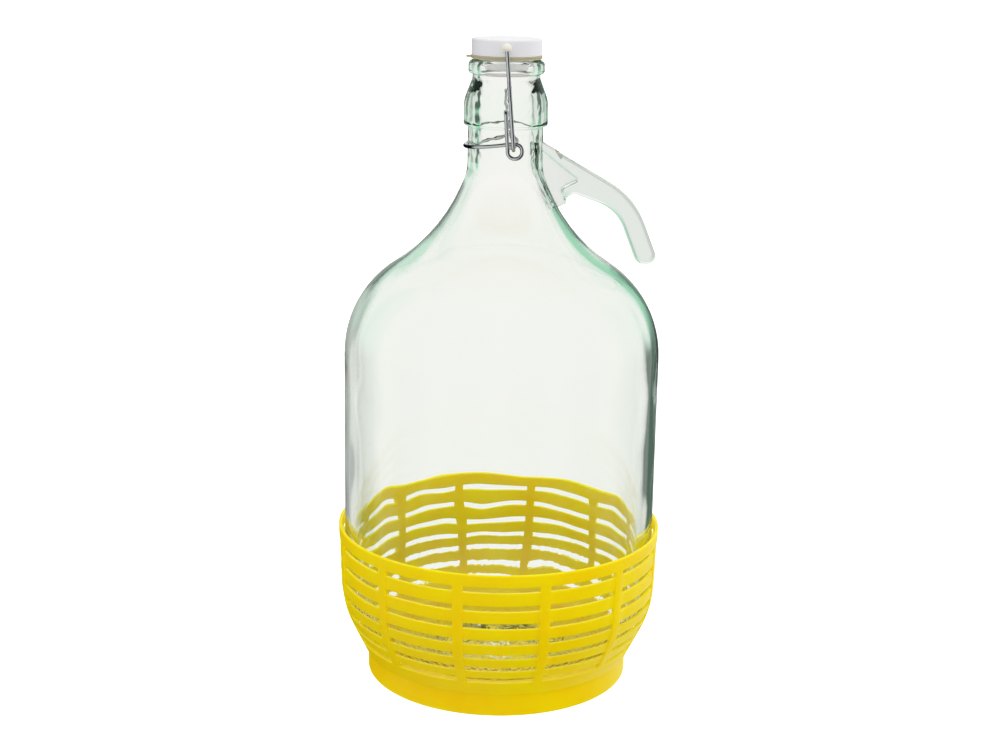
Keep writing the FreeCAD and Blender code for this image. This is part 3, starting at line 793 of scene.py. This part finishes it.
def studio():
    """White for the camera, and a soft light that is brightest above.

    Light that has been in only one wall of the glass comes partly from soft flags, strongest on the right:
    grey-green and dark from below, pale green from above. The gloss of metal and plastic meets a dark side
    and a dark ceiling.
    """
    world = bpy.data.worlds.new("studio")
    bpy.context.scene.world = world
    world.use_nodes = True
    tree = world.node_tree
    tree.nodes.clear()
    toward = add_node(tree, "TexCoord").outputs["Generated"]
    x, y, z = add_node(tree, "SeparateXYZ", {0: toward}).outputs
    bearing = add_node(tree, "Math", {0: x, 1: y}, operation="ARCTAN2").outputs[0]
    path = add_node(tree, "LightPath").outputs

    lean = add_node(tree, "VectorMath", {0: toward, 1: (0.1, 0.1, 0.4)}, operation="DOT_PRODUCT")
    soft = add_node(tree, "Math", {0: lean.outputs["Value"], 1: 0.94}, operation="ADD")

    turned_by = add_node(tree, "MapRange", {
        "Value": bearing, "From Min": -math.pi, "From Max": math.pi, "To Min": 0.0, "To Max": 1.0})
    strength = add_node(tree, "ValToRGB", {"Fac": turned_by.outputs[0]})
    strength.color_ramp.interpolation = "CONSTANT"
    stretches = strength.color_ramp.elements
    stretches.remove(stretches[1])
    for begins, level in FLAGS:
        stretch = stretches[0] if begins == -180 else stretches.new((begins + 180) / 360)
        stretch.color = (level, level, level, 1)
    swing = add_node(tree, "Math", {0: bearing, 1: FLAGS_PER_TURN, 2: -FLAG_SHIFT}, operation="MULTIPLY_ADD")
    wave = add_node(tree, "Math", {0: swing.outputs[0]}, operation="COSINE")
    flag = add_node(tree, "MapRange", {
        "Value": wave.outputs[0], "From Min": 0.6, "From Max": -0.2}, interpolation_type="SMOOTHSTEP")
    steepness = add_node(tree, "Math", {0: z}, operation="ABSOLUTE")
    near_level = add_node(tree, "MapRange", {
        "Value": steepness.outputs[0], "From Min": 0.95, "From Max": 0.6}, interpolation_type="SMOOTHSTEP")
    shaped = add_node(tree, "Math", {0: flag.outputs[0], 1: near_level.outputs[0]}, operation="MULTIPLY")
    after_mirror = add_node(tree, "Math", {0: path["Glossy Depth"], 1: 0.5}, operation="GREATER_THAN")
    mirrored = add_node(tree, "Math", {0: after_mirror.outputs[0], 1: 0.2}, operation="MULTIPLY")
    side = add_node(tree, "Math", {
        0: shaped.outputs[0], 1: strength.outputs[0], 2: mirrored.outputs[0]}, operation="MULTIPLY_ADD")
    in_wall = add_node(tree, "Math", {0: path["Transmission Depth"], 1: 2.5}, operation="LESS_THAN")
    felt_share = add_node(tree, "Math", {0: side.outputs[0], 1: in_wall.outputs[0]}, operation="MULTIPLY")
    above = add_node(tree, "MapRange", {
        "Value": z, "From Min": -0.2, "From Max": 0.05}, interpolation_type="SMOOTHSTEP")
    felt = add_node(tree, "Mix", {
        "Factor": above.outputs[0], "A": colour("4A6255"), "B": colour("A4DABE")}, data_type="RGBA")
    beyond = add_node(tree, "Mix", {
        "Factor": felt_share.outputs[0], "A": colour("FDF6F6"), "B": felt.outputs["Result"]}, data_type="RGBA")

    double = add_node(tree, "Math", {0: bearing, 1: 2.0}, operation="MULTIPLY")
    side_wave = add_node(tree, "Math", {0: double.outputs[0]}, operation="SINE")
    dark_side = add_node(tree, "MapRange", {
        "Value": side_wave.outputs[0], "From Min": -0.05, "From Max": -0.6}, interpolation_type="SMOOTHSTEP")
    overhead = add_node(tree, "MapRange", {
        "Value": z, "From Min": 0.3, "From Max": 0.8}, interpolation_type="SMOOTHSTEP")
    dark = add_node(tree, "Math", {0: dark_side.outputs[0], 1: overhead.outputs[0]}, operation="MAXIMUM")
    strips = add_node(tree, "Mix", {
        "Factor": dark.outputs[0], "A": colour("FAFAFA"), "B": colour("0C1014")}, data_type="RGBA")

    in_glass = add_node(tree, "Math", {
        0: path["Is Transmission Ray"], 1: path["Is Singular Ray"]}, operation="MAXIMUM")
    seen = soft.outputs[0]
    for ray, surround in ((path["Is Glossy Ray"], strips.outputs["Result"]),
                          (in_glass.outputs[0], beyond.outputs["Result"]),
                          (path["Is Camera Ray"], colour("FFFFFF"))):
        mixed = add_node(tree, "Mix", {"Factor": ray, "A": seen, "B": surround}, data_type="RGBA")
        seen = mixed.outputs["Result"]
    background = add_node(tree, "Background", {"Color": seen, "Strength": 1.0})
    output = add_node(tree, "OutputWorld")
    tree.links.new(background.outputs[0], output.inputs[0])


def camera():
    """The photograph's view: a long lens, a little above the basket's rim, looking along +Y."""
    lens = bpy.data.cameras.new("camera")
    lens.lens = CAMERA_LENS
    lens.sensor_width = 36.0
    stand = bpy.data.objects.new("camera", lens)
    bpy.context.scene.collection.objects.link(stand)
    turn = Matrix.Rotation(CAMERA_TILT, 4, "X") @ Matrix.Rotation(CAMERA_ROLL, 4, "Z")
    stand.matrix_world = Matrix.Translation(CAMERA_PLACE) @ turn
    bpy.context.scene.camera = stand


camera()
studio()
table()
bpy.context.scene.view_settings.view_transform = "Standard"
bpy.context.scene.cycles.blur_glossy = 0.0

wire = zinc_plated_wire()
stands_for(glass_jug(), "glass_jug", "jug", green_soda_lime_glass())
stands_for(basket(), "basket", "jug", yellow_polyethylene())
stands_for(stopper(), "stopper", "cap", white_polypropylene())
stands_for(gasket(), "gasket", "cap", beige_rubber())
stands_for(bail_wire(), "bail_wire", "bail", wire)
stands_for(lever_wire(), "lever_wire", "lever", wire)
